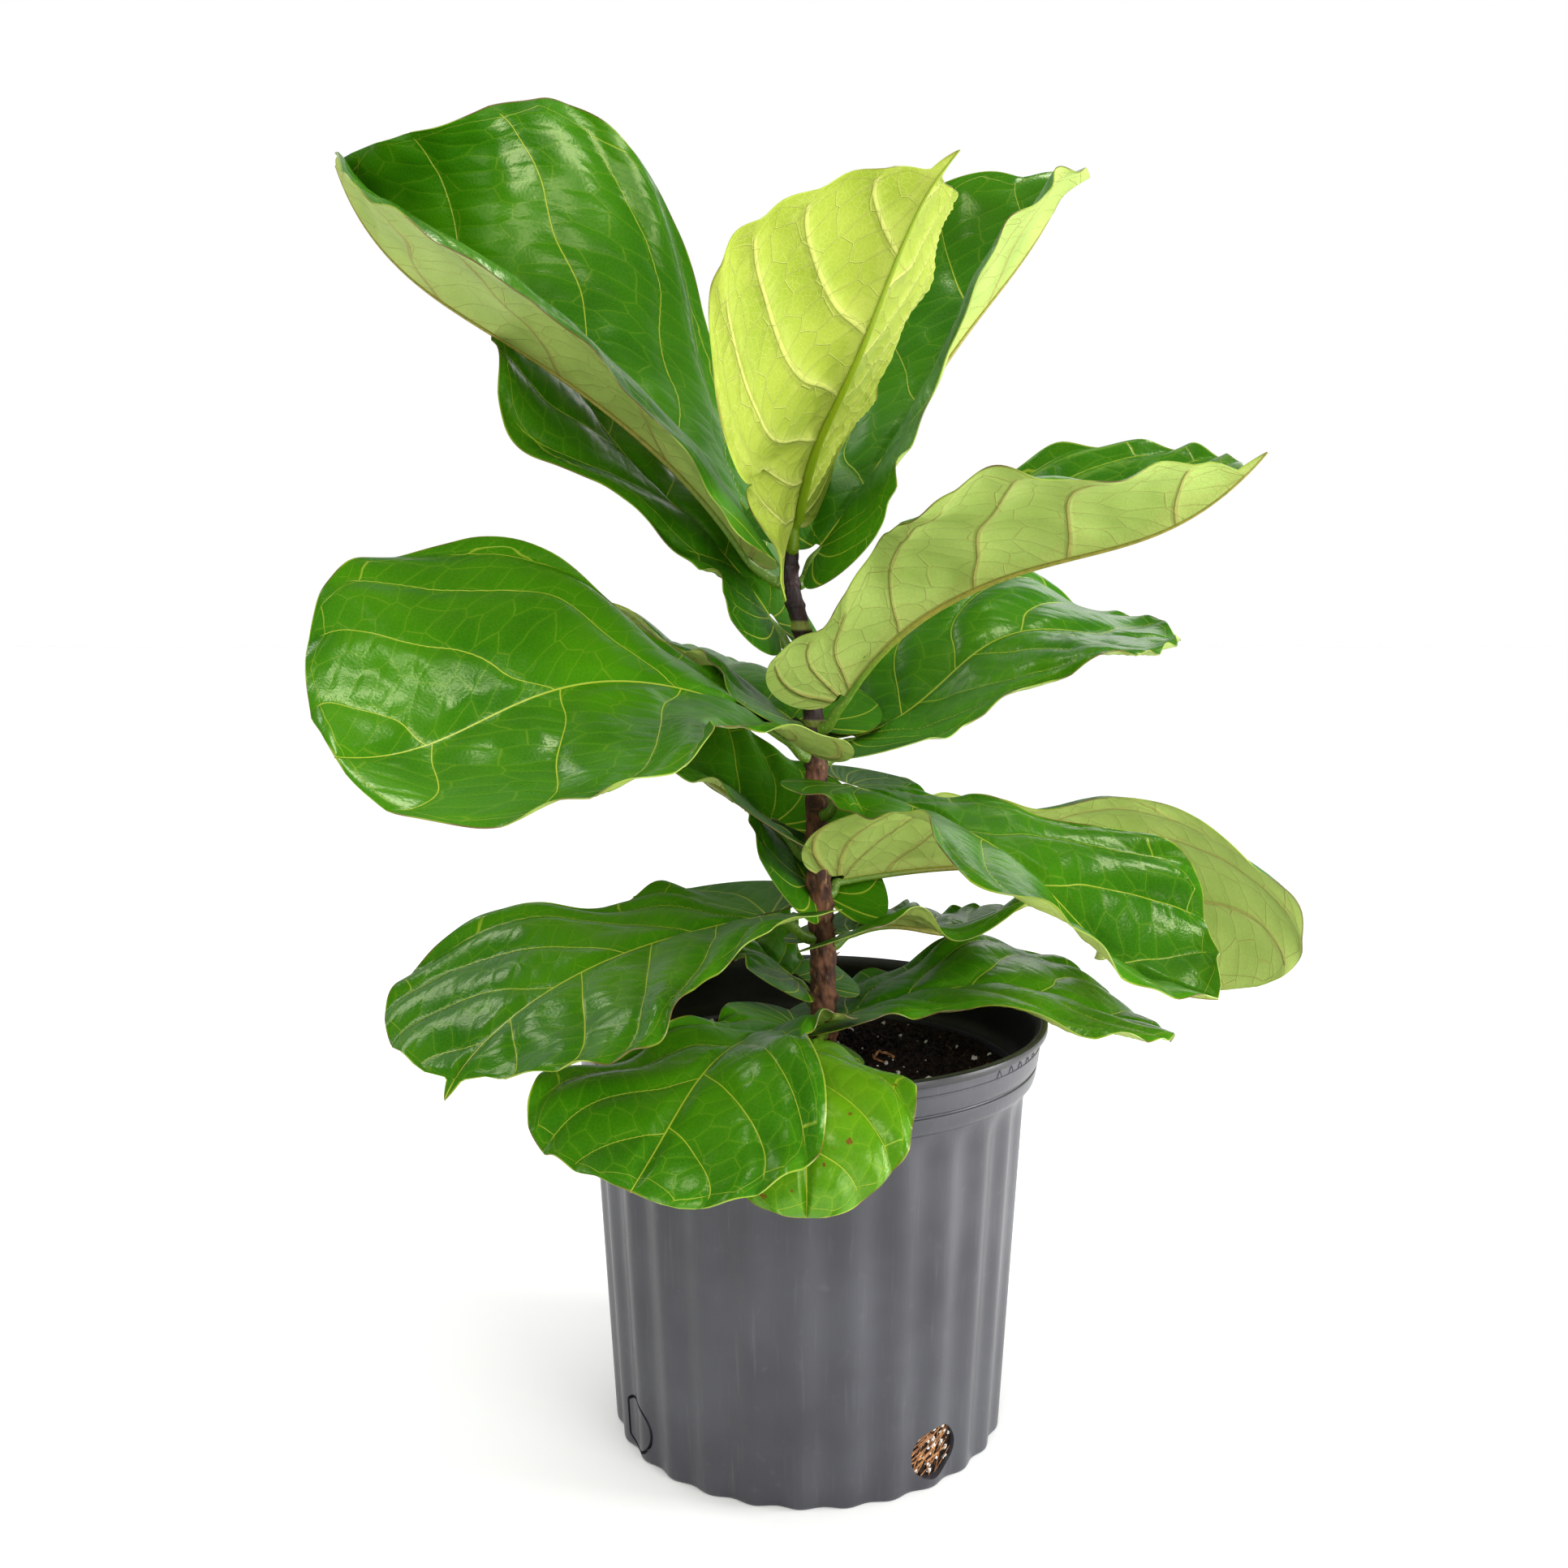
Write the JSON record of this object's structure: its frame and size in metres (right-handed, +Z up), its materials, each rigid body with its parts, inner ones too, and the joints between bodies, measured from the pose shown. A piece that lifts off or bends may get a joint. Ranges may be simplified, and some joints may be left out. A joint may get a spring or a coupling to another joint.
{
  "type": "potted fiddle leaf fig",
  "caption": "Young fiddle leaf fig with large glossy waved leaves on one slim woody stem, standing in a black fluted nursery pot of potting mix.",
  "frame": {"origin": "centre of the pot's flat underside, at the height of the surface it stands on", "axes": "+Z up along the pot's axis, -Y the side that faces the picture's camera, +X to the right as seen from there"},
  "size_m": [0.5535, 0.4333, 0.7533],
  "materials": {
    "pot_plastic": "satin black moulded plastic",
    "potting_mix": "loose damp bark and peat with white grains",
    "bark": "rough young bark",
    "leaf": "glossy deep green above, paler and matt below",
    "young_leaf": "fresh yellow-green, satin",
    "old_leaf": "yellowing green with brown specks, glossy"
  },
  "bodies": {
    "root": {"pot": "pot_plastic", "potting_mix": "potting_mix", "stem": "bark", "leaf_01": "leaf", "leaf_02": "leaf", "leaf_03": "young_leaf", "leaf_04": "leaf", "leaf_05": "leaf", "leaf_06": "leaf", "leaf_07": "leaf", "leaf_08": "leaf", "leaf_09": "leaf", "leaf_10": "leaf", "leaf_11": "leaf", "leaf_12": "leaf", "leaf_13": "leaf", "leaf_14": "leaf", "leaf_15": "leaf", "leaf_16": "leaf", "leaf_17": "old_leaf", "leaf_18": "leaf"}
  },
  "joints": []
}
